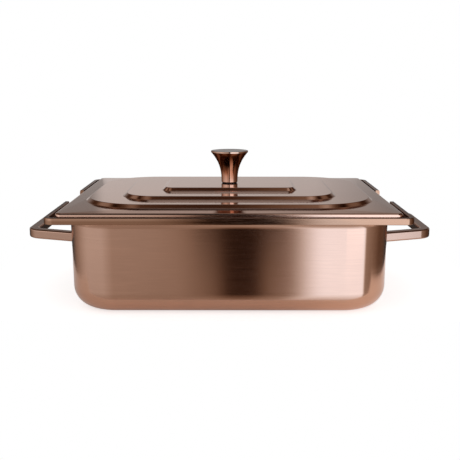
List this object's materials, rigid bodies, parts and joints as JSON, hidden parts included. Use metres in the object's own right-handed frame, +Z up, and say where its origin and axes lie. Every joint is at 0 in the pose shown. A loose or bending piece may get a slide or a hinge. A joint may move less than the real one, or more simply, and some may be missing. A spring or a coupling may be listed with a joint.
{
  "type": "chafing dish",
  "caption": "Rectangular chafing dish with a drawn water pan, notched raised rim, lift-out food pan, bar handles and a stepped lift-off lid with a trumpet knob.",
  "frame": {"origin": "middle of the induction base plate's underside, on the table", "axes": "+X along the long side towards the right-hand handle, +Y away from the guest, +Z up"},
  "size_m": [0.418, 0.282, 0.1464],
  "materials": {
    "pan_copper": "horizontally brushed, copper-coloured coat on stainless steel",
    "rail_copper": "satin, copper-coloured coat on stainless steel",
    "handle_copper": "satin, copper-coloured coat on stainless steel",
    "lid_copper": "polished, copper-coloured coat on stainless steel",
    "knob_copper": "turned and polished, darker copper-coloured coat",
    "food_steel": "satin stainless steel",
    "plate_steel": "magnetic stainless steel, turned finish",
    "screw_steel": "stainless steel",
    "silicone": "matt silicone"
  },
  "bodies": {
    "dish_base": {"water_pan": "pan_copper", "rim_rail_front": "rail_copper", "rim_rail_rear": "rail_copper", "induction_plate": "plate_steel", "handle_left": "handle_copper", "handle_right": "handle_copper", "handle_screw_left_front": "screw_steel", "handle_screw_left_rear": "screw_steel", "handle_screw_right_front": "screw_steel", "handle_screw_right_rear": "screw_steel", "handle_seal_left_front": "silicone", "handle_seal_left_rear": "silicone", "handle_seal_right_front": "silicone", "handle_seal_right_rear": "silicone"},
    "food_tray": {"food_pan": "food_steel"},
    "lid_set": {"lid": "lid_copper", "knob": "knob_copper", "knob_seal": "silicone", "knob_washer": "screw_steel", "knob_lock_washer": "screw_steel", "knob_screw": "screw_steel"}
  },
  "joints": [
    {"name": "food_pan_lift", "type": "slide", "parent": "dish_base", "child": "food_tray", "axis": [0, 0, 1], "range_m": [0, 0.1]},
    {"name": "lid_lift", "type": "slide", "parent": "food_tray", "child": "lid_set", "axis": [0, 0, 1], "range_m": [0, 0.15]}
  ]
}
